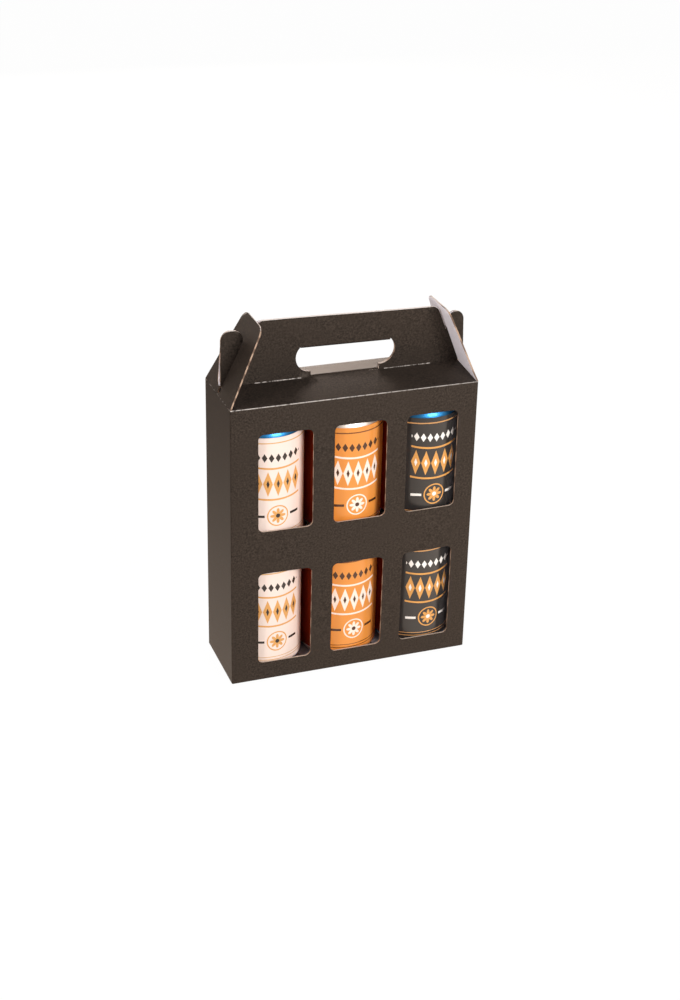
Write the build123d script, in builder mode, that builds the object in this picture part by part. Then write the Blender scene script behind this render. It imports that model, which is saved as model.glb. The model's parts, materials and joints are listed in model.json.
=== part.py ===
from build123d import *
import os
from math import atan2, cos, hypot, radians, sin, sqrt, tan

# Gable-top carry carton holding six drinks cans, in millimetres.
#
# One die-cut sheet of micro-flute board folds into four walls, a lock bottom, a
# two-panel roof and a two-layer handle. Its two end flaps lean in over the roof
# ends, and the ears of the handle pass out through their slots. Six cans stand
# inside in two layers of three and show through six windows in the front wall.
#
# Frame: the origin is at the bottom centre of the carton, +X runs right along the
# front wall, the front wall faces -Y and +Z is up.

os.makedirs("parts", exist_ok=True)

# Board and clearances
board = 1.2
crease_radius = 1.2
slip = 0.3
sheet_gap = 0.2

# Room round the cans, rise of the roof over them, and the glued flap of the side seam
left_room = 1.15
right_room = 2.75
depth_room = 0.55
head_room = 14.1
ridge_rise = 6.0
glue_flap_width = 16.0
glue_flap_taper = 8.0
glue_flap_inset = 6.0

# Windows in the front wall
window_width = 42.8
window_height = 83.3
window_radius = 4.5
window_pitch = 61.7
lower_sill = 16.6
upper_window_lift = 6.5
window_offset = 2.3

# Handle panels, hand hole and the roof lip below it
handle_rise = 57.3
handle_corner_radius = 8.0
handle_end_gap = 2.2
front_shift = 0.8
rear_shift = -0.4
hand_hole_radius = 12.6
hand_hole_straight = 57.4
hand_hole_rise = 23.3
hand_hole_offset = 1.6
hand_fold_rise = 33.0
roof_lip = 2.4
roof_lip_angle = 20.0

# Ears that lock through the end flaps
ear_foot_rise = 6.8
ear_tip_inset = 1.8
ear_foot_inset = 1.3
ear_round = 7.4
ear_foot_round = 1.5
notch_rise = 36.1
notch_step = 2.4
hook_height = 12.8
hook_gap = 1.2

# End flaps
left_lean = 26.5
right_lean = 23.5
flap_length = 66.0
flap_base_inset = 0.7
flap_taper = 12.5
flap_corner_radius = 9.0
slot_start = 1.2
slot_notch_radius = 2.6

# Seams of the lock bottom
seam_width = 0.5
seam_depth = 0.5
lock_inset = 3.0
lock_reach = 43.0
lock_slant = 32.0
tongue_width = 72.0
tongue_length = 12.0
tongue_taper = 4.0

# Cans and their paper labels
can_diameter = 66.2
can_height = 115.2
can_gap = 0.4
label_thickness = 0.15
label_start = 11.5
label_end_gap = 1.5
stand_radius = 24.4
stand_flat = 1.0
stand_width = 3.4
stand_height = 1.2
dome_height = 10.2
base_radius = 31.2
base_height = 8.0
body_start = 11.0
shoulder_depth = 13.2
neck_radius = 26.3
neck_depth = 3.5
shoulder_round = 8.0
neck_round = 3.0
rim_radius = 27.0
rim_height = 2.5
rim_width = 1.4
countersink_radius = 24.2
countersink_depth = 6.8
panel_radius = 22.2
panel_depth = 4.4
tab_length = 24.0
tab_width = 15.5
tab_thickness = 1.0
tab_offset = 3.5
tab_hole_radius = 4.2

# Values worked out from the sizes above
can_radius = can_diameter / 2
can_pitch = can_diameter + 2 * label_thickness + can_gap
can_row_offset = (left_room - right_room) / 2
foot_slope = 2 * stand_height / (stand_width - stand_flat)
can_nesting = (rim_radius - rim_width - stand_radius - stand_flat / 2) * foot_slope
layer_rise = can_height - can_nesting
body_end = can_height - shoulder_depth
neck_height = can_height - neck_depth
label_height = body_end - label_end_gap - label_start
carton_width = 3 * can_pitch - can_gap + left_room + right_room + 2 * board
carton_depth = can_diameter + 2 * (label_thickness + depth_room + board)
wall_height = board + layer_rise + can_height + head_room
upper_sill = lower_sill + layer_rise + upper_window_lift
half_width = carton_width / 2
half_depth = carton_depth / 2
sheet_back = sheet_gap / 2
sheet_front = sheet_back + board
roof_slope = atan2(ridge_rise, half_depth - sheet_front)
lip_slope = radians(roof_lip_angle)
lip_reach = roof_lip * cos(lip_slope) + board * sin(lip_slope) - sheet_front
ridge_height = wall_height + ridge_rise
handle_top = wall_height + handle_rise
ear_foot = wall_height + ear_foot_rise
ear_tip = wall_height + notch_rise + notch_step + hook_height
fold_height = wall_height + hand_fold_rise
hole_height = wall_height + hand_hole_rise
fold_radius = board / 2 + sheet_gap + board
fold_chord = sqrt(hand_hole_radius**2 - (fold_height - hole_height) ** 2)
fold_half_width = hand_hole_straight / 2 + fold_chord
leans = {"left": radians(left_lean), "right": radians(right_lean)}
signs = {"left": -1, "right": 1}
shifts = {"left": front_shift, "right": rear_shift}


def flap_face(side, height, inward=0.0):
    """Distance from the centre plane to a flap's outer face, or to a plane that far inside it."""
    lean = leans[side]
    return half_width - (height - wall_height) * tan(lean) - inward / cos(lean)


def end_profile(side):
    """Handle outline at one end, from the ear's foot round its tip and notch to the top corner."""
    notch = wall_height + notch_rise
    hook = notch + notch_step
    return [
        (half_width - ear_foot_inset, ear_foot),
        (half_width - ear_tip_inset, ear_tip),
        (flap_face(side, ear_tip) + hook_gap, ear_tip),
        (flap_face(side, hook) + hook_gap, hook),
        (flap_face(side, notch, board) - handle_end_gap, notch),
        (flap_face(side, handle_top, board) - handle_end_gap, handle_top),
    ]


def ear_reach(side):
    """Furthest distance from a flap's fold to the round tip of the ear that it swings past."""
    centre = ear_tip - ear_round
    across = half_width - flap_face(side, centre, -ear_round) - hook_gap + abs(shifts[side])
    return hypot(across, centre - wall_height) + ear_round


def front_outline(shift):
    """Front view of one wall, its roof panel and its handle panel moved sideways by shift."""
    right_end = [(shift + x, z) for x, z in end_profile("right")]
    left_end = [(shift - x, z) for x, z in end_profile("left")]
    inner = board + slip
    roof_end = ear_foot + board
    with BuildSketch(Plane.XZ) as outline:
        with BuildLine():
            Polyline(*right_end, *reversed(left_end), close=True)
        make_face()
        for height, radius in (
            (ear_foot, ear_foot_round),
            (ear_tip, ear_round),
            (handle_top, handle_corner_radius),
        ):
            level = outline.vertices().filter_by_position(Axis.Y, height - slip, height + slip)
            fillet(level, radius)
        with BuildLine():
            Polyline(
                (-flap_face("left", wall_height, inner), wall_height),
                (flap_face("right", wall_height, inner), wall_height),
                (flap_face("right", roof_end, inner), roof_end),
                (-flap_face("left", roof_end, inner), roof_end),
                close=True,
            )
        make_face()
        with Locations((0, wall_height / 2)):
            Rectangle(carton_width, wall_height)
    return outline.sketch


def side_section(side):
    """Side view of a wall, its roof panel and its handle panel, one board thick."""
    lowered = board * tan(roof_slope) - board / cos(roof_slope)
    with BuildSketch(Plane.YZ) as section:
        with BuildLine():
            Polyline(
                (side * half_depth, 0),
                (side * half_depth, wall_height),
                (side * sheet_front, ridge_height),
                (side * sheet_front, handle_top),
                (side * sheet_back, handle_top),
                (side * sheet_back, ridge_height + lowered),
                (side * (half_depth - board), wall_height + lowered),
                (side * (half_depth - board), 0),
                close=True,
            )
        make_face()
        top_crease = section.vertices().filter_by(lambda v: abs(v.Y - wall_height) < slip / 3)
        fillet(top_crease, crease_radius)
    return section.sketch


layers = []
for side, shift in ((-1, front_shift), (1, rear_shift)):
    with BuildPart() as layer:
        extrude(side_section(side), amount=half_width, both=True)
        extrude(front_outline(shift), amount=carton_depth, both=True, mode=Mode.INTERSECT)
    layers.append(layer.part)


# Outer form of the folded walls, with rounded corners, and the free space over them
with BuildPart() as envelope:
    with BuildSketch():
        RectangleRounded(carton_width, carton_depth, crease_radius)
    extrude(amount=wall_height)
    fillet(envelope.faces().sort_by(Axis.Z)[0].edges(), crease_radius)
    with Locations((0, 0, wall_height)):
        Box(
            carton_width + carton_depth,
            carton_depth + board,
            2 * handle_rise,
            align=(Align.CENTER, Align.CENTER, Align.MIN),
        )


with BuildPart() as carton:
    add(layers)

    # Side walls and bottom
    with Locations(*[(sign * (half_width - board / 2), 0, 0) for sign in signs.values()]):
        Box(
            board,
            carton_depth,
            wall_height - slip / 2,
            align=(Align.CENTER, Align.CENTER, Align.MIN),
        )
    Box(carton_width, carton_depth, board, align=(Align.CENTER, Align.CENTER, Align.MIN))
    add(envelope.part, mode=Mode.INTERSECT)

    # Glued flap inside the back left corner
    glue_edge = half_depth - board - glue_flap_width
    with BuildSketch(Plane.YZ.offset(board - half_width)):
        with BuildLine():
            Polyline(
                (half_depth - board, glue_flap_inset),
                (glue_edge, glue_flap_inset + glue_flap_taper),
                (glue_edge, wall_height - glue_flap_inset - glue_flap_taper),
                (half_depth - board, wall_height - glue_flap_inset),
                close=True,
            )
        make_face()
    extrude(amount=board)

    # Six windows in the front wall
    with BuildSketch(Plane.XZ.offset(half_depth)):
        with Locations(
            *[
                (window_offset + column * window_pitch, sill + window_height / 2)
                for column in (-1, 0, 1)
                for sill in (lower_sill, upper_sill)
            ]
        ):
            RectangleRounded(window_width, window_height, window_radius)
    extrude(amount=-2 * board, mode=Mode.SUBTRACT)

    # Hand hole through both layers, open down to the ridge, with room behind for the lip
    with BuildSketch(Plane.XZ):
        with Locations((hand_hole_offset, hole_height)):
            SlotCenterToCenter(hand_hole_straight, 2 * hand_hole_radius)
        with Locations((hand_hole_offset, fold_height + hand_hole_radius)):
            Rectangle(carton_width, 2 * hand_hole_radius, mode=Mode.SUBTRACT)
        with Locations((hand_hole_offset, (ridge_height + hole_height) / 2)):
            Rectangle(hand_hole_straight, hole_height - ridge_height)
    extrude(amount=2 * board, both=True, mode=Mode.SUBTRACT)
    with Locations((hand_hole_offset, (lip_reach + slip) / 2, ridge_height)):
        Box(hand_hole_straight, lip_reach + slip, 4 * board, mode=Mode.SUBTRACT)

    # Roof lip that runs on past the ridge below the hand hole
    along = Vector(cos(lip_slope), sin(lip_slope))
    across = Vector(sin(lip_slope), -cos(lip_slope))
    root = Vector(-sheet_front, ridge_height)
    with BuildSketch(Plane.YZ.offset(hand_hole_offset)):
        with BuildLine():
            Polyline(
                root,
                root + along * roof_lip,
                root + along * roof_lip + across * board,
                root + across * board,
                close=True,
            )
        make_face()
    extrude(amount=hand_hole_straight / 2, both=True)

    # Tab of the hand hole, folded back through the rear layer and up behind it
    with BuildSketch(Plane.YZ.offset(hand_hole_offset)):
        with Locations(((board + sheet_gap) / 2, fold_height)):
            Circle(fold_radius)
            Circle(fold_radius - board, mode=Mode.SUBTRACT)
            with Locations((0, fold_radius)):
                Rectangle(2 * fold_radius, 2 * fold_radius, mode=Mode.SUBTRACT)
    extrude(amount=fold_half_width, both=True)
    with BuildSketch(Plane.XZ.offset(-sheet_front - sheet_gap)):
        with Locations((hand_hole_offset, 2 * fold_height - hole_height)):
            SlotCenterToCenter(hand_hole_straight, 2 * hand_hole_radius)
        with Locations((hand_hole_offset, fold_height - hand_hole_radius)):
            Rectangle(carton_width, 2 * hand_hole_radius, mode=Mode.SUBTRACT)
    extrude(amount=-board)

    # Seams of the outer bottom panel and its locking tongue
    lock_edge = lock_reach - half_depth
    lock_corner = half_width - lock_inset
    with BuildSketch():
        with BuildLine():
            Polyline(
                (-lock_corner, lock_inset - half_depth),
                (lock_slant - lock_corner, lock_edge),
                (-tongue_width / 2, lock_edge),
                (tongue_taper - tongue_width / 2, lock_edge + tongue_length),
                (tongue_width / 2 - tongue_taper, lock_edge + tongue_length),
                (tongue_width / 2, lock_edge),
                (lock_corner - lock_slant, lock_edge),
                (lock_corner, lock_inset - half_depth),
            )
        trace(line_width=seam_width)
    extrude(amount=seam_depth, mode=Mode.SUBTRACT)

carton.part.label = "carton"
export_step(carton.part, "parts/carton.step")


# End flaps, hinged on the top edges of the side walls, with a slot for the ears
for side, sign in signs.items():
    base = half_depth - flap_base_inset
    top = base - flap_taper
    slot_end = ear_reach(side) + slip
    flap_plane = Plane(
        origin=(sign * half_width, 0, wall_height),
        x_dir=(0, sign, 0),
        z_dir=(sign * cos(leans[side]), 0, sin(leans[side])),
    )
    with BuildPart() as flap:
        with BuildSketch(flap_plane) as flap_sketch:
            with BuildLine():
                Polyline((-base, 0), (base, 0), (top, flap_length), (-top, flap_length), close=True)
            make_face()
            tips = flap_sketch.vertices().filter_by(lambda v: v.Y > flap_length / 2)
            fillet(tips, flap_corner_radius)
            with Locations((0, (slot_start + slot_end) / 2)):
                Rectangle(2 * (sheet_front + slip), slot_end - slot_start, mode=Mode.SUBTRACT)
            with Locations((0, slot_start + slot_notch_radius)):
                Circle(slot_notch_radius, mode=Mode.SUBTRACT)
        extrude(amount=-board)
        with Locations((sign * half_width, 0, wall_height + slip / 2)):
            Box(
                4 * board,
                carton_depth,
                2 * board,
                align=(Align.CENTER, Align.CENTER, Align.MAX),
                mode=Mode.SUBTRACT,
            )
    flap.part.label = f"end_flap_{side}"
    export_step(flap.part, f"parts/end_flap_{side}.step")


# Cans with a domed base, a necked shoulder, a seamed rim and a pull tab on a sunk lid
layer_heights = {"lower": board, "upper": board + layer_rise}
columns = {"left": -1, "middle": 0, "right": 1}
for level, floor in layer_heights.items():
    for column, step in columns.items():
        name = f"{level}_{column}"
        axis = can_row_offset + step * can_pitch
        upright_plane = Plane(origin=(axis, 0, floor), x_dir=(1, 0, 0), z_dir=(0, -1, 0))
        with BuildPart() as can:
            with BuildSketch(upright_plane) as profile:
                with BuildLine():
                    inner_foot = (stand_radius - stand_width / 2, stand_height)
                    outer_foot = (stand_radius + stand_width / 2, stand_height)
                    ThreePointArc((0, dome_height), (inner_foot[0] / 2, 0.78 * dome_height), inner_foot)
                    Polyline(
                        inner_foot,
                        (stand_radius - stand_flat / 2, 0),
                        (stand_radius + stand_flat / 2, 0),
                        outer_foot,
                        (base_radius, base_height),
                        (can_radius, body_start),
                        (can_radius, body_end),
                        (neck_radius, neck_height),
                        (neck_radius, can_height - rim_height),
                        (rim_radius, can_height - rim_height),
                        (rim_radius, can_height),
                        (rim_radius - rim_width, can_height),
                        (countersink_radius, can_height - countersink_depth),
                        (panel_radius, can_height - countersink_depth),
                        (panel_radius, can_height - panel_depth),
                        (0, can_height - panel_depth),
                        (0, dome_height),
                    )
                make_face()
                turns = profile.vertices()
                fillet(turns.filter_by(lambda v: abs(v.Y - body_end) < slip), shoulder_round)
                fillet(turns.filter_by(lambda v: abs(v.Y - neck_height) < slip), neck_round)
            revolve(axis=Axis((axis, 0, floor), (0, 0, 1)))
            with BuildSketch(Plane.XY.offset(floor + can_height - panel_depth)):
                with Locations((axis, -tab_offset)):
                    SlotOverall(tab_length, tab_width, rotation=90)
                with Locations((axis, -tab_offset - (tab_length - tab_width) / 2)):
                    Circle(tab_hole_radius, mode=Mode.SUBTRACT)
            extrude(amount=tab_thickness)
        can.part.label = f"can_{name}"
        export_step(can.part, f"parts/can_{name}.step")

        with BuildPart() as label:
            with BuildSketch(Plane.XY.offset(floor + label_start)):
                with Locations((axis, 0)):
                    Circle(can_radius + label_thickness)
                    Circle(can_radius, mode=Mode.SUBTRACT)
            extrude(amount=label_height)
        label.part.label = f"label_{name}"
        export_step(label.part, f"parts/label_{name}.step")
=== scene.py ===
# %% [markdown]
# A gable-top carry carton with six drinks cans
#
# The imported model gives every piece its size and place. This script gives each one
# its look: printed board with a white liner and bare cut edges, lacquered cans and
# paper labels. It starts by loading that model, which stays as it is.

import json
from math import atan2, cos, pi, radians, sin

import bmesh
import bpy
from mathutils import Matrix, Vector


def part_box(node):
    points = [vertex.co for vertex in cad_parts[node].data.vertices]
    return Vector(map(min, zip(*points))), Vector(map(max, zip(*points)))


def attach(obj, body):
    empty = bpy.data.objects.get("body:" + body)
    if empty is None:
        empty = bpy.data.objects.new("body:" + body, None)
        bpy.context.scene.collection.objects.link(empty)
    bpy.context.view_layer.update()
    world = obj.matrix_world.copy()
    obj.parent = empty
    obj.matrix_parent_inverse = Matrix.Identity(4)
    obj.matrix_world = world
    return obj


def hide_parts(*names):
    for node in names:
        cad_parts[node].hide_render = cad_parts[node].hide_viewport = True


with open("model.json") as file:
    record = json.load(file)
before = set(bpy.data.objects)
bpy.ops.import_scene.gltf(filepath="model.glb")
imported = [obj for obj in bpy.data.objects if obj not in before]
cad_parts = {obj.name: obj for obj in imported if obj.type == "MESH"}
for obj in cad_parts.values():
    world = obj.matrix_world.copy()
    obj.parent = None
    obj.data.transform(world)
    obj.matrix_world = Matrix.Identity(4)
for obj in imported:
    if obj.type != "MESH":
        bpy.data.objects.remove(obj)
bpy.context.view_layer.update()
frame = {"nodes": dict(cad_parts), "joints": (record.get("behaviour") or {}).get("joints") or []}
print("nodes:", len(frame["nodes"]))

# %% [markdown]
# Sizes come from the frame where it holds them. The rest are the real sizes of the
# board, written in millimetres and turned to metres where they are used.

# %% Sizes
MM = 0.001

carton_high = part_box("carton")[1]
HALF_WIDTH = carton_high.x
HALF_DEPTH = carton_high.y
HANDLE_TOP = carton_high.z
WALL_TOP = frame["joints"][0]["pos_m"][2]

BOARD = 1.2 * MM
SHEET_GAP = 0.2 * MM
SHEET_FRONT = SHEET_GAP / 2 + BOARD
RIDGE = WALL_TOP + 6 * MM
LEANS = {"left": radians(26.5), "right": radians(23.5)}
SIGNS = {"left": -1, "right": 1}

print("carton:", [round(2 * v / MM, 1) for v in (HALF_WIDTH, HALF_DEPTH)], round(HANDLE_TOP / MM, 1))

# %% [markdown]
# Colours are written as they would be picked on a screen. Blender's shaders work in
# linear light, so one function turns a hex value into a linear colour. A second one
# adds a node, sets its properties and fills its inputs, so that a material reads as
# a list of what it is made of.

# %% Colour and node helpers
def linear(hex_colour):
    """Linear RGBA of an sRGB hex colour such as #453a34."""
    channels = [int(hex_colour[i:i + 2], 16) / 255 for i in (1, 3, 5)]
    return (*[c / 12.92 if c <= 0.04045 else ((c + 0.055) / 1.055) ** 2.4 for c in channels], 1.0)


def add(tree, kind, inputs=None, **settings):
    """Adds a node, with inputs set or linked by name or number, and gives its first output."""
    node = tree.nodes.new("ShaderNode" + kind)
    for name, value in settings.items():
        setattr(node, name, value)
    for name, value in (inputs or {}).items():
        if isinstance(value, bpy.types.NodeSocket):
            tree.links.new(value, node.inputs[name])
        else:
            node.inputs[name].default_value = value
    return node.outputs[0]


def start_material(name, **sockets):
    """A new material with its Principled shader's own sockets set."""
    material = bpy.data.materials.new(name)
    material.use_nodes = True
    tree = material.node_tree
    shader = tree.nodes["Principled BSDF"]
    for socket, value in sockets.items():
        shader.inputs[socket.replace("_", " ")].default_value = value
    return material, tree, shader


# %% [markdown]
# The outside of the board is a matt black-brown print on kraft liner. Up close it is
# mottled, because the ink sinks into the fibres unevenly, and where the sheet is
# creased the ink cracks and the pale fibres show. The mottling is a noise a couple of
# millimetres wide, drawn a little coarser than it is so that it shows. Each worn
# crease is a thin band about a line, broken up along it by a second noise.

# %% Printed board
ACROSS_X = (0, 1, 1)
ACROSS_Y = (1, 0, 1)
WORN_CREASES = [
    # plane across the crease, a point on it, half width, share worn, and then the middle
    # and the half length of the worn stretch
    (ACROSS_X, (0, HALF_DEPTH, WALL_TOP), 0.7 * MM, 0.80, 0, 110 * MM),
    (ACROSS_X, (0, SHEET_FRONT, RIDGE), 0.65 * MM, 0.55, 55 * MM, 20 * MM),
    (ACROSS_Y, (HALF_WIDTH, 0, WALL_TOP), 0.5 * MM, 0.35, 0, 110 * MM),
]
PER_PATCH = (1 / (3 * MM), 1 / (3 * MM), 1 / (25 * MM))


def printed_board():
    """Dark ink on kraft liner, mottled, with pale fibres where its creases are worn."""
    material, tree, shader = start_material("printed_board", Specular_IOR_Level=0.2,
                                            Specular_Tint=linear("#ffead8"))
    place = add(tree, "TexCoord").node.outputs["Object"]
    x = add(tree, "SeparateXYZ", {0: place}).node.outputs["X"]
    mottle = add(tree, "TexNoise", {"Vector": place, "Scale": 1 / (1.6 * MM), "Detail": 4.0,
                                    "Roughness": 0.7})
    cloud = add(tree, "TexNoise", {"Vector": place, "Scale": 1 / (25 * MM), "Detail": 3.0})
    grain = add(tree, "MapRange", {"Value": mottle, "From Min": 0.36, "From Max": 0.66})
    ink = add(tree, "MixRGB", {0: grain, 1: linear("#1a1714"), 2: linear("#3f3630")})
    drift = add(tree, "MapRange", {"Value": cloud, "From Min": 0.42, "From Max": 0.62, "To Max": 0.5})
    colour = add(tree, "MixRGB", {0: drift, 1: ink, 2: linear("#302924")})

    # The front and back creases mirror each other, and so do the left and right ones
    mirrored = add(tree, "VectorMath", {0: place}, operation="ABSOLUTE")
    along = add(tree, "Math", {0: x}, operation="ABSOLUTE")
    stretched = add(tree, "VectorMath", {0: place, 1: PER_PATCH}, operation="MULTIPLY")
    patches = add(tree, "TexNoise", {"Vector": stretched, "Scale": 1.0, "Detail": 4.0, "Roughness": 0.7})
    rubbed = add(tree, "MapRange", {"Value": x, "From Min": -HALF_WIDTH, "From Max": HALF_WIDTH,
                                    "To Min": 1.0, "To Max": 0.6})
    for plane, point, reach, worn, middle, half in WORN_CREASES:
        flat = add(tree, "VectorMath", {0: mirrored, 1: plane}, operation="MULTIPLY")
        away = add(tree, "VectorMath", {0: flat, 1: point}, operation="DISTANCE").node.outputs["Value"]
        band = add(tree, "MapRange", {"Value": away, "From Min": reach, "From Max": 0.3 * reach})
        bare = add(tree, "MapRange", {"Value": patches, "From Min": 0.68 - 0.5 * worn,
                                      "From Max": 0.92 - 0.5 * worn})
        stretch = add(tree, "Math", {0: along, 1: middle, 2: half}, operation="COMPARE")
        scuff = band
        for share in (bare, stretch, rubbed):
            scuff = add(tree, "Math", {0: scuff, 1: share}, operation="MULTIPLY")
        colour = add(tree, "MixRGB", {0: scuff, 1: colour, 2: linear("#f0e6de")})
    tree.links.new(colour, shader.inputs["Base Color"])
    matt = add(tree, "MapRange", {"Value": mottle, "From Min": 0.3, "From Max": 0.7,
                                  "To Min": 0.46, "To Max": 0.58})
    tree.links.new(matt, shader.inputs["Roughness"])
    fibres = add(tree, "TexNoise", {"Vector": place, "Scale": 1 / (0.6 * MM), "Detail": 3.0})
    bump = add(tree, "Bump", {"Height": fibres, "Strength": 0.4, "Distance": 0.06 * MM})
    tree.links.new(bump, shader.inputs["Normal"])
    return material


# %% [markdown]
# The inside of the sheet is a plain white liner, and its cut edges show the kraft
# paper of the flutes as light and dark cells. Real cells are about as wide as the
# board is thick, which is too fine to show, so these are drawn far coarser, about
# 15 mm from one to the next. An edge that faces up is painted paler, a painted highlight
# for the light that falls on it from above, and the more so the higher it is above the walls.

# %% Liner and cut edge
CELL_SCALE = 1 / (24 * MM)
HIGHLIGHT_RISE = 30 * MM


def white_liner():
    """Plain white paper, a little uneven as pulp is."""
    material, tree, shader = start_material("white_liner", Roughness=0.85)
    place = add(tree, "TexCoord").node.outputs["Object"]
    pulp = add(tree, "TexNoise", {"Vector": place, "Scale": 1 / (3 * MM), "Detail": 4.0})
    colour = add(tree, "MixRGB", {0: pulp, 1: linear("#e4dde3"), 2: linear("#f2ecf1")})
    tree.links.new(colour, shader.inputs["Base Color"])
    bump = add(tree, "Bump", {"Height": pulp, "Strength": 0.3, "Distance": 0.05 * MM})
    tree.links.new(bump, shader.inputs["Normal"])
    return material


def cut_edge():
    """Kraft paper of the flutes, with a painted highlight where the edge faces up and stands high."""
    material, tree, shader = start_material("cut_edge", Roughness=0.9)
    place = add(tree, "TexCoord").node.outputs["Object"]
    cells = add(tree, "TexWave", {"Vector": place, "Scale": CELL_SCALE, "Distortion": 2.0, "Detail": 1.0},
                bands_direction="DIAGONAL")
    flutes = add(tree, "MapRange", {"Value": cells, "From Min": 0.2, "From Max": 0.6})
    kraft = add(tree, "MixRGB", {0: flutes, 1: linear("#6f5848"), 2: linear("#b0937d")})
    # Painted highlight: an edge that faces up is drawn paler for the light from above, and more so higher
    # up
    facing = add(tree, "TexCoord").node.outputs["Normal"]
    upwards = add(tree, "SeparateXYZ", {0: facing}).node.outputs["Z"]
    painted_highlight = add(tree, "MapRange", {"Value": upwards, "From Min": 0.7, "From Max": 0.97})
    height = add(tree, "SeparateXYZ", {0: place}).node.outputs["Z"]
    high = add(tree, "MapRange", {"Value": height, "From Min": WALL_TOP, "From Max": WALL_TOP + HIGHLIGHT_RISE})
    pale = add(tree, "MixRGB", {0: high, 1: linear("#c9b5a4"), 2: linear("#f2eae4")})
    colour = add(tree, "MixRGB", {0: painted_highlight, 1: kraft, 2: pale})
    tree.links.new(colour, shader.inputs["Base Color"])
    return material


board_materials = [printed_board(), white_liner(), cut_edge()]
PRINT, LINER, CUT = range(3)
print("board:", [material.name for material in board_materials])

# %% [markdown]
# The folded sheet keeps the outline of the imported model, so each board piece starts
# as a merged copy of its node. Planes cut the copy into a grid, which lets its large
# panels bow a little as real board does. Which side of the sheet a face is on follows
# from where it is: a face that looks out of the sheet is printed, one that looks in
# is liner, and one that looks along it is a cut edge.

# %% Board helpers
SAME_POINT = 0.002 * MM
ON_PLANE = 0.001 * MM
OFF_CORNER = 0.013 * MM
SHARP_ANGLE = radians(28)


def merged_copy(node):
    """A copy of a node's mesh with its loose triangles joined."""
    shape = bmesh.new()
    shape.from_mesh(frame["nodes"][node].data)
    bmesh.ops.remove_doubles(shape, verts=shape.verts, dist=SAME_POINT)
    return shape


def cut_into_grid(shape, node, pitch):
    """Cuts a node's copy across X and Z every pitch, a hair off its own corners."""
    low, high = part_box(node)
    for axis, normal in ((0, (1, 0, 0)), (2, (0, 0, 1))):
        steps = max(1, round((high[axis] - low[axis]) / pitch))
        for step in range(1, steps):
            where = low[axis] + (high[axis] - low[axis]) * step / steps + OFF_CORNER
            every = shape.verts[:] + shape.edges[:] + shape.faces[:]
            bmesh.ops.bisect_plane(shape, geom=every, dist=ON_PLANE, plane_co=Vector(normal) * where,
                                   plane_no=normal)


def sort_sides(shape, outward):
    """Gives each face the material of the side of the sheet that it is on."""
    shape.normal_update()
    for face in shape.faces:
        facing = face.normal.dot(outward(face.calc_center_median()))
        face.material_index = PRINT if facing > 0.5 else LINER if facing < -0.5 else CUT


def to_piece(shape, name, node, body, materials):
    """Makes a bmesh into a smooth-shaded piece that rides on a body and stands for a node."""
    mesh = bpy.data.meshes.new(name)
    shape.to_mesh(mesh)
    shape.free()
    for material in materials:
        mesh.materials.append(material)
    for polygon in mesh.polygons:
        polygon.use_smooth = True
    mesh.set_sharp_from_angle(angle=SHARP_ANGLE)
    piece = bpy.data.objects.new(name, mesh)
    bpy.context.scene.collection.objects.link(piece)
    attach(piece, body)
    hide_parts(node)
    print(name, len(mesh.polygons), "faces")


# %% [markdown]
# The carton is one sheet folded round, so the way out of it changes from panel to
# panel. The middle of a face tells which panel it is on: first the folded tab of the
# hand hole and the lip in front of it are tried, then the handle and the roof, and
# what is left belongs to the nearest wall or to the bottom.

# %% Which way is out of the sheet
HOLE_OFFSET = 1.6 * MM
FOLD_RADIUS = BOARD / 2 + SHEET_GAP + BOARD
FOLD_REACH = 1.02 * FOLD_RADIUS
FOLD_CENTRE = Vector((0, (BOARD + SHEET_GAP) / 2, WALL_TOP + 33 * MM))
FOLD_HALF_WIDTH = 36.8 * MM
LIP_HALF_WIDTH = 28.8 * MM
LIP_REACH = 1.5 * MM
LIP_START = 0.1 * MM - SHEET_FRONT
LIP_SLOPE = radians(20)
ROOF_START = WALL_TOP - 0.2 * MM
ROOF_SLOPE = atan2(RIDGE - WALL_TOP, HALF_DEPTH - SHEET_FRONT)


def carton_outward(point):
    """Direction out of the sheet, towards its printed side, at a point of the carton."""
    side = -1 if point.y < 0 else 1
    in_fold = abs(point.x - HOLE_OFFSET) < FOLD_HALF_WIDTH and abs(point.z - FOLD_CENTRE.z) < FOLD_REACH
    if in_fold and point.z < FOLD_CENTRE.z and point.y < SHEET_FRONT + FOLD_RADIUS:
        away = point - FOLD_CENTRE
        return Vector((0, away.y, away.z)).normalized()
    in_lip = abs(point.x - HOLE_OFFSET) < LIP_HALF_WIDTH and abs(point.z - RIDGE) < LIP_REACH
    if in_lip and LIP_START < point.y < LIP_REACH:
        return Vector((0, -sin(LIP_SLOPE), cos(LIP_SLOPE)))
    if point.z > RIDGE:
        return Vector((0, side, 0))
    if point.z > ROOF_START:
        return Vector((0, side * sin(ROOF_SLOPE), cos(ROOF_SLOPE)))
    depths = {
        HALF_WIDTH - abs(point.x): Vector((1 if point.x > 0 else -1, 0, 0)),
        HALF_DEPTH - abs(point.y): Vector((0, side, 0)),
        point.z: Vector((0, 0, -1)),
    }
    return depths[min(depths)]


# %% [markdown]
# Board is never quite flat. The cans push the front and back walls out a little at
# their middles, the right end of the handle leans forwards with the flap that it
# holds, and the ears are a little narrower at their tips. The sides of the windows
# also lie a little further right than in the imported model, and the tops of the upper
# ones a little higher. All are smooth moves of the grid's points, which come to
# nothing at the creases.

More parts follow.
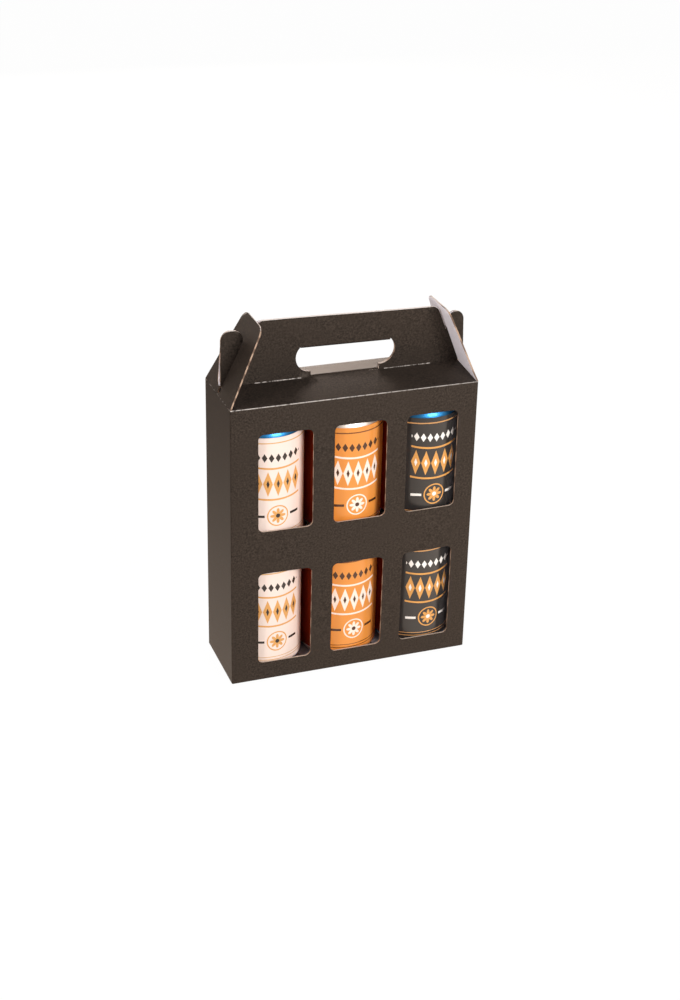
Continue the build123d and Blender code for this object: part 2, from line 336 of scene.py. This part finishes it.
# %% How the board bends
FRONT_BULGE = 2.0 * MM
BACK_BULGE = 0.8 * MM
RIGHT_LEAN = 8.5 * MM
LEAN_START = -85 * MM
LEAN_END = 90 * MM
RIGHT_EAR_TAPER = 4.5 * MM
BACK_EAR_TAPER = 3.0 * MM
EAR_TAPER_START = WALL_TOP + 14 * MM
EAR_ROOT = 84 * MM
WINDOW_PITCH = 61.7 * MM
WINDOW_HALF = 21.4 * MM
UPPER_MIDDLE = 180 * MM
UPPER_TOP = 221 * MM
WINDOW_MOVES = [
    # middle of a column of windows, how far to the right its left and right sides move,
    # and how far up the top of its upper window does
    (-59.4 * MM, 0.0, 2.4 * MM, 0.9 * MM),
    (2.3 * MM, 1.1 * MM, 2.4 * MM, 0.9 * MM),
    (64.0 * MM, 0.4 * MM, 1.6 * MM, 1.6 * MM),
]


def move_windows(shape):
    """Moves the sides of the windows to the right, and the tops of the upper ones up."""
    for vert in shape.verts:
        place = vert.co
        for middle, left, right, top in WINDOW_MOVES:
            off = place.x - middle
            if place.y < 2 * BOARD - HALF_DEPTH and abs(off) < WINDOW_PITCH / 2:
                beyond = max(0.0, abs(off) - WINDOW_HALF) / (WINDOW_PITCH / 2 - WINDOW_HALF)
                share = min(1.0, abs(off) / WINDOW_HALF) - beyond
                above = max(0.0, place.z - UPPER_TOP) / (WALL_TOP - UPPER_TOP)
                rise = min(1.0, max(0.0, (place.z - UPPER_MIDDLE) / (UPPER_TOP - UPPER_MIDDLE))) - above
                place.z += max(0.0, rise) * top * (1 - beyond)
                place.x += share * (right if off > 0 else left)
                break


def bow_walls(shape):
    """Moves the front and back walls out at their middles."""
    for vert in shape.verts:
        place = vert.co
        if place.z < WALL_TOP and HALF_DEPTH - abs(place.y) < 2 * BOARD:
            across = 1 - (place.x / HALF_WIDTH) ** 2
            up = sin(pi * max(0.0, place.z) / WALL_TOP)
            place.y += BACK_BULGE * across * up if place.y > 0 else -FRONT_BULGE * across * up


def lean_forwards(shape):
    """Leans what is above the ridge forwards, more and more towards the right end."""
    for vert in shape.verts:
        rise = max(0.0, (vert.co.z - RIDGE) / (HANDLE_TOP - RIDGE))
        share = min(1.0, max(0.0, (vert.co.x - LEAN_START) / (LEAN_END - LEAN_START)))
        vert.co.y -= RIGHT_LEAN * rise * share * share * (3 - 2 * share)


def taper_ears(shape):
    """Draws in the outer edges of the right ears and the left back one, towards their tips."""
    for vert in shape.verts:
        place = vert.co
        rise = max(0.0, (place.z - EAR_TAPER_START) / (HANDLE_TOP - EAR_TAPER_START))
        share = min(1.0, max(0.0, (abs(place.x) - EAR_ROOT) / (HALF_WIDTH - EAR_ROOT)))
        if place.x > 0:
            place.x -= RIGHT_EAR_TAPER * share * rise
        elif place.y > 0:
            place.x += BACK_EAR_TAPER * share * rise


# %% Carton
carton = merged_copy("carton")
cut_into_grid(carton, "carton", pitch=9 * MM)
sort_sides(carton, carton_outward)
move_windows(carton)
bow_walls(carton)
taper_ears(carton)
lean_forwards(carton)
to_piece(carton, "carton_board", "carton", "filled_carton", board_materials)

# %% [markdown]
# The end flaps are the same sheet. The ears of the handle come out through a slot in
# each. Board bends as the ears slip through, so the slot that is cut in it ends at the
# ears' notches, which is shorter than the solid's.

# %% End flaps
SLOT_END = 42.5 * MM
SLOT_REACH = 2 * MM

for side, sign in SIGNS.items():
    lean = LEANS[side]
    fold = Vector((sign * HALF_WIDTH, 0, WALL_TOP))
    up_flap = Vector((-sign * sin(lean), 0, cos(lean)))
    outside = Vector((sign * cos(lean), 0, sin(lean)))
    flap = merged_copy(f"end_flap_{side}")
    for vert in flap.verts:
        past = (vert.co - fold).dot(up_flap) - SLOT_END
        if past > 0 and abs(vert.co.y) < SLOT_REACH:
            vert.co -= past * up_flap
    cut_into_grid(flap, f"end_flap_{side}", pitch=6 * MM)
    sort_sides(flap, lambda point: outside)
    lean_forwards(flap)
    to_piece(flap, f"end_flap_{side}_board", f"end_flap_{side}", f"{side}_flap", board_materials)

# %% [markdown]
# A drinks can is drawn from aluminium sheet. Its wall is lacquered, clear or in a
# transparent blue, so the metal shines through it, and its lid and base are bare. The
# sheet is a little duller in some places than in others, which a soft noise gives.

# %% Can metals
DULLED = 0.86


def can_lacquer(name, hex_colour, roughness, coat):
    """Rolled aluminium, with a coat of lacquer over it where coat is above 0."""
    material, tree, shader = start_material(name, Metallic=1.0, Roughness=roughness, Coat_Weight=coat,
                                            Coat_Roughness=0.12)
    place = add(tree, "TexCoord").node.outputs["Object"]
    rolled = add(tree, "TexNoise", {"Vector": place, "Scale": 1 / (8 * MM), "Detail": 3.0})
    bright = linear(hex_colour)
    dull = tuple(DULLED * c for c in bright[:3]) + (1.0,)
    colour = add(tree, "MixRGB", {0: rolled, 1: dull, 2: bright})
    tree.links.new(colour, shader.inputs["Base Color"])
    return material


bare_aluminium = can_lacquer("bare_aluminium", "#e3e2e0", 0.28, 0.0)
blue_lacquer = can_lacquer("blue_lacquer", "#2c78b0", 0.38, 0.25)
clear_lacquer = can_lacquer("clear_lacquer", "#f0e6dc", 0.42, 0.25)
CAN_WALLS = {"left": blue_lacquer, "middle": clear_lacquer, "right": blue_lacquer}

# %% [markdown]
# One profile is spun round the can's axis and its corners are rounded, which is how
# the real can is formed too. The pull tab is two rings bridged to a plate, with a
# flattened ball for its rivet, which sits on the axis. Loose cans don't stand just
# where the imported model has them, so each layer is moved as a whole.

# %% Can shape
LEVELS = ("lower", "upper")
COLUMNS = ("left", "middle", "right")
CAN_AXES = {column: sum(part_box(f"can_lower_{column}"), Vector())[0] / 2 for column in COLUMNS}
SHIFTS = {"lower": Vector((0.4 * MM, 0, 0)), "upper": Vector((1.5 * MM, 0, 1.0 * MM))}
CAN_STEPS = 96
LID_HEIGHT = 110.8
CAN_PROFILE = [
    # radius and height in millimetres, from the middle of the base to the middle of the lid
    (0, 10.2), (8, 9.6), (15, 7.6), (20, 4.4), (22.7, 1.2), (23.9, 0.0), (24.9, 0.0), (26.1, 1.2),
    (28.5, 4.2), (31.2, 8.0), (32.6, 9.8), (33.1, 12.0), (33.1, 102.0), (26.3, 111.7), (26.3, 112.7),
    (27.0, 112.9), (27.0, 115.2), (25.6, 115.2), (24.2, 108.4), (22.2, 108.4), (22.2, LID_HEIGHT),
    (0, LID_HEIGHT),
]
CAN_ROUNDS = [
    # radius and height of a corner, and the size it is rounded to
    (33.1, 102.0, 3.4), (26.3, 111.7, 1.2), (27.0, 115.2, 0.5), (25.6, 115.2, 0.5), (27.0, 112.9, 0.1),
]
ON_RING = 0.02 * MM
LACQUER_START, LACQUER_END, LACQUER_RADIUS = 8.0, 112.8, 26.0

TAB_HALF_WIDTH = 7.75 * MM
TAB_HALF_LENGTH = 12.0 * MM
TAB_THICKNESS = 1.0 * MM
TAB_LIFT = 0.05 * MM
FINGER_HOLE_RADIUS = 4.2 * MM
FINGER_HOLE_OFFSET = 4.5 * MM
RIVET_RADIUS = 2.6 * MM
RIVET_OFFSET = 3.5 * MM
RIVET_FLATNESS = 0.35


def corner_ring(shape, axis, floor, radius, height):
    """Edges of the ring at a radius and height of the can."""
    ring = []
    for edge in shape.edges:
        ends = [Vector((v.co.x - axis, v.co.y)).length for v in edge.verts]
        level = all(abs(v.co.z - floor - height * MM) < ON_RING for v in edge.verts)
        if level and all(abs(end - radius * MM) < ON_RING for end in ends):
            ring.append(edge)
    return ring


def add_tab(shape, axis, level):
    """Pull tab: an oval plate with a finger hole, held by a rivet."""
    outer = bmesh.ops.create_circle(shape, segments=32, radius=1.0)["verts"]
    inner = bmesh.ops.create_circle(shape, segments=32, radius=FINGER_HOLE_RADIUS)["verts"]
    bmesh.ops.scale(shape, verts=outer, vec=(TAB_HALF_WIDTH, TAB_HALF_LENGTH, 1))
    bmesh.ops.translate(shape, verts=inner, vec=(0, -FINGER_HOLE_OFFSET, 0))
    rims = list({edge for vert in outer + inner for edge in vert.link_edges})
    plate = bmesh.ops.bridge_loops(shape, edges=rims)["faces"]
    thick = bmesh.ops.extrude_face_region(shape, geom=plate)["geom"]
    raised = [item for item in thick if isinstance(item, bmesh.types.BMVert)]
    bmesh.ops.translate(shape, verts=raised, vec=(0, 0, TAB_THICKNESS))
    rivet = bmesh.ops.create_uvsphere(shape, u_segments=24, v_segments=12, radius=RIVET_RADIUS)["verts"]
    bmesh.ops.scale(shape, verts=rivet, vec=(1, 1, RIVET_FLATNESS))
    bmesh.ops.translate(shape, verts=rivet, vec=(0, RIVET_OFFSET, TAB_THICKNESS))
    tab = list({*outer, *inner, *raised, *rivet})
    bmesh.ops.translate(shape, verts=tab, vec=(axis, -RIVET_OFFSET, level + TAB_LIFT))


def build_can(level, column):
    """One can: the spun and rounded wall, its metals, and its tab."""
    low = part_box(f"can_{level}_{column}")[0]
    axis = CAN_AXES[column]
    shape = bmesh.new()
    points = [shape.verts.new((axis + r * MM, 0, low.z + z * MM)) for r, z in CAN_PROFILE]
    edges = [shape.edges.new(pair) for pair in zip(points, points[1:])]
    bmesh.ops.spin(shape, geom=points + edges, cent=(axis, 0, 0), axis=(0, 0, 1), angle=2 * pi,
                   steps=CAN_STEPS, use_merge=True)
    bmesh.ops.remove_doubles(shape, verts=shape.verts, dist=0.005 * MM)
    for radius, height, size in CAN_ROUNDS:
        ring = corner_ring(shape, axis, low.z, radius, height)
        bmesh.ops.bevel(shape, geom=ring, offset=size * MM, affect="EDGES", segments=4, profile=0.5,
                        material=-1)
    bmesh.ops.recalc_face_normals(shape, faces=shape.faces)
    for face in shape.faces:
        height = (face.calc_center_median().z - low.z) / MM
        radius = (face.calc_center_median() - Vector((axis, 0, 0))).xy.length / MM
        lacquered = LACQUER_START < height < LACQUER_END and radius > LACQUER_RADIUS
        face.material_index = 1 if lacquered else 0
    body_faces = set(shape.faces)
    add_tab(shape, axis, low.z + LID_HEIGHT * MM)
    tab_faces = [face for face in shape.faces if face not in body_faces]
    bmesh.ops.recalc_face_normals(shape, faces=tab_faces)
    bmesh.ops.translate(shape, verts=shape.verts, vec=SHIFTS[level])
    to_piece(shape, f"can_{level}_{column}_metal", f"can_{level}_{column}", "filled_carton",
             [bare_aluminium, CAN_WALLS[column]])


for level in LEVELS:
    for column in COLUMNS:
        build_can(level, column)

# %% [markdown]
# The labels are smooth coated paper, wrapped once round the can. Their print is plain
# ornament: a row of small lozenges, a panel of tall lozenges between two curved lines,
# and a rosette with a bar on each side. The plain maroon field round the back is painted
# shade, for the sides of the cans in deep shadow between them. It is all laid out by how
# far a point is round the can and how high it is on the label, which the shader works out
# from Object coordinates. Each shape is a test on those two lengths, in millimetres.

# %% Label paper
LABEL_RADIUS = 33.25 * MM
LABEL_TURN = 4 * MM
CAN_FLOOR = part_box("can_lower_left")[0].z
LAYER_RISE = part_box("can_upper_left")[0].z + SHIFTS["upper"].z - CAN_FLOOR
LABEL_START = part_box("label_lower_left")[0].z - CAN_FLOOR

# Lengths on the label, in millimetres
PANEL_HALF = 21.0
SHADE_START = 33.7
ARCH = -0.0042
ROSETTE_HEIGHT = 21.0
EYE_RADIUS = 1.8
RINGS = [(84.5, 0.5), (6.5, 0.3), (4.0, 0.3)]  # height and half width
CURVES = [(62.5, 0.8), (35.5, 0.8)]
# Painted shade: the colour given to the sides of the cans that lie in deep shadow
PAINTED_SHADE_MAROON = "#8a2c14"


def label_paper(name, axis, paper, main_ink, second_ink, line_ink):
    """Coated paper with the ornament printed on it in three inks, and painted shade round its back."""
    material, tree, shader = start_material(name, Roughness=0.27)
    place = add(tree, "TexCoord").node.outputs["Object"]
    xyz = add(tree, "SeparateXYZ", {0: place}).node.outputs
    side = add(tree, "Math", {0: xyz["X"], 1: axis}, operation="SUBTRACT")
    front = add(tree, "Math", {0: xyz["Y"], 1: -1.0}, operation="MULTIPLY")
    turn = add(tree, "Math", {0: side, 1: front}, operation="ARCTAN2")
    around = add(tree, "Math", {0: turn, 1: LABEL_RADIUS / MM, 2: -LABEL_TURN / MM},
                 operation="MULTIPLY_ADD")
    above = add(tree, "Math", {0: xyz["Z"], 1: CAN_FLOOR}, operation="SUBTRACT")
    storey = add(tree, "Math", {0: above, 1: LAYER_RISE}, operation="MODULO")
    height = add(tree, "Math", {0: storey, 1: 1 / MM, 2: -LABEL_START / MM}, operation="MULTIPLY_ADD")
    near = add(tree, "Math", {0: around}, operation="ABSOLUTE")
    panel = add(tree, "Math", {0: near, 1: PANEL_HALF}, operation="LESS_THAN")
    colour = linear(paper)

    # Lines right round the label
    for middle, half in RINGS:
        line = add(tree, "Math", {0: height, 1: middle, 2: half}, operation="COMPARE")
        colour = add(tree, "MixRGB", {0: line, 1: colour, 2: linear(line_ink)})

    # Painted shade: one plain maroon field round the back of the label, for the shadowed sides of the cans
    back = add(tree, "Math", {0: near, 1: SHADE_START}, operation="GREATER_THAN")
    colour = add(tree, "MixRGB", {0: back, 1: colour, 2: linear(PAINTED_SHADE_MAROON)})

    # Two curved lines over and under the panel
    square = add(tree, "Math", {0: around, 1: around}, operation="MULTIPLY")
    arched = add(tree, "Math", {0: square, 1: ARCH, 2: height}, operation="MULTIPLY_ADD")
    for middle, half in CURVES:
        line = add(tree, "Math", {0: arched, 1: middle, 2: half}, operation="COMPARE")
        line = add(tree, "Math", {0: line, 1: panel}, operation="MULTIPLY")
        colour = add(tree, "MixRGB", {0: line, 1: colour, 2: linear(main_ink)})

    # Tall lozenges, five across, each with a small one inside, then a row of short ones:
    # height, pitch, how steep their sides are, half width, ink
    for middle, pitch, slope, reach, ink in (
        (49.0, 8.4, 0.36, 3.9, main_ink),
        (49.0, 8.4, 0.36, 1.3, second_ink),
        (71.5, 5.6, 0.62, 2.3, second_ink),
    ):
        across = add(tree, "Math", {0: around, 1: pitch / 2}, operation="PINGPONG")
        off = add(tree, "Math", {0: arched, 1: middle}, operation="SUBTRACT")
        off = add(tree, "Math", {0: off}, operation="ABSOLUTE")
        distance = add(tree, "Math", {0: off, 1: slope, 2: across}, operation="MULTIPLY_ADD")
        lozenge = add(tree, "Math", {0: distance, 1: reach}, operation="LESS_THAN")
        lozenge = add(tree, "Math", {0: lozenge, 1: panel}, operation="MULTIPLY")
        colour = add(tree, "MixRGB", {0: lozenge, 1: colour, 2: linear(ink)})

    # Rosette of eight petals in a ring, with a bar on each side
    over = add(tree, "Math", {0: height, 1: ROSETTE_HEIGHT}, operation="SUBTRACT")
    spot = add(tree, "CombineXYZ", {"X": around, "Y": over})
    radius = add(tree, "VectorMath", {0: spot}, operation="LENGTH").node.outputs["Value"]
    angle = add(tree, "Math", {0: over, 1: around}, operation="ARCTAN2")
    wave = add(tree, "Math", {0: angle, 1: 4.0}, operation="MULTIPLY")
    wave = add(tree, "Math", {0: wave}, operation="COSINE")
    wave = add(tree, "Math", {0: wave}, operation="ABSOLUTE")
    edge = add(tree, "Math", {0: wave, 1: 3.6, 2: 3.0}, operation="MULTIPLY_ADD")
    petals = add(tree, "Math", {0: radius, 1: edge}, operation="LESS_THAN")
    colour = add(tree, "MixRGB", {0: petals, 1: colour, 2: linear(main_ink)})
    ring = add(tree, "Math", {0: radius, 1: 8.6, 2: 0.55}, operation="COMPARE")
    colour = add(tree, "MixRGB", {0: ring, 1: colour, 2: linear(main_ink)})
    eye = add(tree, "Math", {0: radius, 1: EYE_RADIUS}, operation="LESS_THAN")
    colour = add(tree, "MixRGB", {0: eye, 1: colour, 2: linear(second_ink)})
    level = add(tree, "Math", {0: over, 1: 0.0, 2: 1.1}, operation="COMPARE")
    bar = add(tree, "Math", {0: near, 1: 15.5, 2: 4.5}, operation="COMPARE")
    bar = add(tree, "Math", {0: bar, 1: level}, operation="MULTIPLY")
    colour = add(tree, "MixRGB", {0: bar, 1: colour, 2: linear(second_ink)})

    tree.links.new(colour, shader.inputs["Base Color"])
    return material


label_materials = {
    "left": label_paper("cream_label", CAN_AXES["left"], "#f3ded2", "#dd9f58", "#2b2522", "#d9a86c"),
    "middle": label_paper("orange_label", CAN_AXES["middle"], "#e6913f", "#fbe6d6", "#4a2a16", "#6f3f1c"),
    "right": label_paper("charcoal_label", CAN_AXES["right"], "#2f2c2a", "#dd9c50", "#f6efe6", "#cf965c"),
}
print("labels:", [material.name for material in label_materials.values()])

# %% [markdown]
# A label is a thin tube of paper. Its outline, a very thin upright rectangle, is spun
# round the can's axis with as many steps as the can has, so that the two fit closely.

# %% Label shape
LABEL_THICKNESS = 0.15 * MM


def build_label(level, column):
    """One label, moved with the can that it is wrapped round."""
    low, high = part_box(f"label_{level}_{column}")
    axis = CAN_AXES[column]
    shape = bmesh.new()
    outer = (high.x - low.x) / 2
    inner = outer - LABEL_THICKNESS
    corners = [(outer, low.z), (outer, high.z), (inner, high.z), (inner, low.z)]
    points = [shape.verts.new((axis + r, 0, z)) for r, z in corners]
    edges = [shape.edges.new(pair) for pair in zip(points, points[1:] + points[:1])]
    bmesh.ops.spin(shape, geom=points + edges, cent=(axis, 0, 0), axis=(0, 0, 1), angle=2 * pi,
                   steps=CAN_STEPS, use_merge=True)
    bmesh.ops.recalc_face_normals(shape, faces=shape.faces)
    bmesh.ops.translate(shape, verts=shape.verts, vec=SHIFTS[level])
    to_piece(shape, f"label_{level}_{column}_paper", f"label_{level}_{column}", "filled_carton",
             [label_materials[column]])


for level in LEVELS:
    for column in COLUMNS:
        build_label(level, column)

# %% [markdown]
# The photograph's camera stands to the left of the carton and looks down on it. Its
# place was found from the corners of the carton, so it is written as numbers.

# %% Camera
CAMERA_DISTANCE = 1452.5
AZIMUTH, ELEVATION, ROLL = radians(20.29), radians(26.29), radians(1.34)
TARGET = Vector((0.585, 0, 137.88)) * MM

camera_data = bpy.data.cameras.new("camera")
camera_data.lens = 63.5
camera_data.sensor_width = 36
camera = bpy.data.objects.new("camera", camera_data)
bpy.context.scene.collection.objects.link(camera)
bpy.context.scene.camera = camera
back = Vector((-sin(AZIMUTH) * cos(ELEVATION), -cos(AZIMUTH) * cos(ELEVATION), sin(ELEVATION)))
right = (-back).cross(Vector((0, 0, 1))).normalized()
up = right.cross(-back)
turned_right = cos(ROLL) * right + sin(ROLL) * up
turned_up = cos(ROLL) * up - sin(ROLL) * right
camera.matrix_world = Matrix.Translation(TARGET + back * CAMERA_DISTANCE * MM) @ Matrix(
    (turned_right, turned_up, back)).transposed().to_4x4()
print("camera:", [round(value, 3) for value in camera.matrix_world.translation])

# %% [markdown]
# The carton stands on a white sweep. The floor is plain pale paint to the light that
# falls on it, so it keeps the carton's shadow, and glows white only where the camera
# or a clear surface sees it. In reflections it is a warm pool of light that fades with
# distance, which gives the dark board its sheen.

# %% Floor
FLOOR_HALF = 4.0
FLOOR_DROP = 0.1 * MM
POOL_CENTRE = (0.3, -0.2, 0)
POOL_START, POOL_END = 0.1, 1.05
POOL_BRIGHT = (2.0, 1.68, 1.42, 1)
POOL_DIM = (0.14, 0.115, 0.095, 1)
FLOOR_WHITE = (1.05, 1.05, 1.05, 1)
GLOW_SHARE = 0.93

floor_mesh = bpy.data.meshes.new("floor")
shape = bmesh.new()
bmesh.ops.create_grid(shape, x_segments=1, y_segments=1, size=FLOOR_HALF)
bmesh.ops.translate(shape, verts=shape.verts, vec=(0, 0, -FLOOR_DROP))
shape.to_mesh(floor_mesh)
shape.free()
floor = bpy.data.objects.new("floor", floor_mesh)
bpy.context.scene.collection.objects.link(floor)
material, tree, shader = start_material("white_floor", Roughness=0.9, Base_Color=linear("#bcbab8"))
path = add(tree, "LightPath").node.outputs
ground = add(tree, "TexCoord").node.outputs["Object"]
away = add(tree, "VectorMath", {0: ground, 1: POOL_CENTRE}, operation="DISTANCE").node.outputs["Value"]
far = add(tree, "MapRange", {"Value": away, "From Min": POOL_START, "From Max": POOL_END})
pool = add(tree, "MixRGB", {0: far, 1: POOL_BRIGHT, 2: POOL_DIM})
tone = add(tree, "MixRGB", {0: path["Is Glossy Ray"], 1: FLOOR_WHITE, 2: pool})
seen = add(tree, "Math", {0: path["Is Camera Ray"], 1: path["Is Glossy Ray"]}, operation="MAXIMUM")
seen = add(tree, "Math", {0: seen, 1: path["Is Transmission Ray"]}, operation="MAXIMUM")
share = add(tree, "Math", {0: seen, 1: GLOW_SHARE}, operation="MULTIPLY")
glow = add(tree, "Emission", {"Color": tone})
mixed = add(tree, "MixShader", {0: share, 1: shader.outputs[0], 2: glow})
tree.links.new(mixed, tree.nodes["Material Output"].inputs["Surface"])
floor_mesh.materials.append(material)

# %% [markdown]
# The world is white to the camera, a dim grey to the light that it gives the carton,
# and a warm glow to reflections, brighter near the horizon than above. Three soft
# lamps do the rest: one in front, one behind that warms the roof, and a wide one from
# the left that fills the side wall.

# %% World and lamps
DIM_GREY = (0.15, 0.15, 0.15, 1)
WARM_TINT = (1, 0.86, 0.74, 1)
CARTON_MIDDLE = (0, 0, 0.15)

world = bpy.data.worlds.new("studio")
bpy.context.scene.world = world
world.use_nodes = True
tree = world.node_tree
path = add(tree, "LightPath").node.outputs
direction = add(tree, "TexCoord").node.outputs["Generated"]
rise = add(tree, "SeparateXYZ", {0: direction}).node.outputs["Z"]
horizon = add(tree, "MapRange", {"Value": rise, "From Min": 0.55, "From Max": 0.2,
                                 "To Min": 0.25, "To Max": 0.6})
warm = add(tree, "MixRGB", {0: 1.0, 1: horizon, 2: WARM_TINT}, blend_type="MULTIPLY")
lit = add(tree, "MixRGB", {0: path["Is Glossy Ray"], 1: DIM_GREY, 2: warm})
plain = add(tree, "MixRGB", {0: path["Is Camera Ray"], 1: lit, 2: (1, 1, 1, 1)})
tree.links.new(plain, tree.nodes["Background"].inputs["Color"])


def soft_light(name, place, size, power, tint):
    """A square area lamp at a place, in metres, that points at the carton's middle."""
    lamp = bpy.data.lights.new(name, "AREA")
    lamp.color = tint
    lamp.energy = power
    lamp.size = size
    lamp_object = bpy.data.objects.new(name, lamp)
    bpy.context.scene.collection.objects.link(lamp_object)
    lamp_object.location = place
    aim = Vector(CARTON_MIDDLE) - Vector(place)
    lamp_object.rotation_euler = aim.to_track_quat("-Z", "Y").to_euler()


soft_light("key", (0.48, -1.40, 0.75), 0.7, 24, (1.0, 1.0, 1.0))
soft_light("back", (0.1, 1.9, 0.85), 1.4, 38, (1.0, 0.84, 0.74))
soft_light("fill", (-2.2, -0.6, 1.2), 1.2, 38, (1.0, 0.96, 0.94))
print("lamps:", [lamp.name for lamp in bpy.data.lights])

bpy.context.scene.view_settings.view_transform = "Standard"
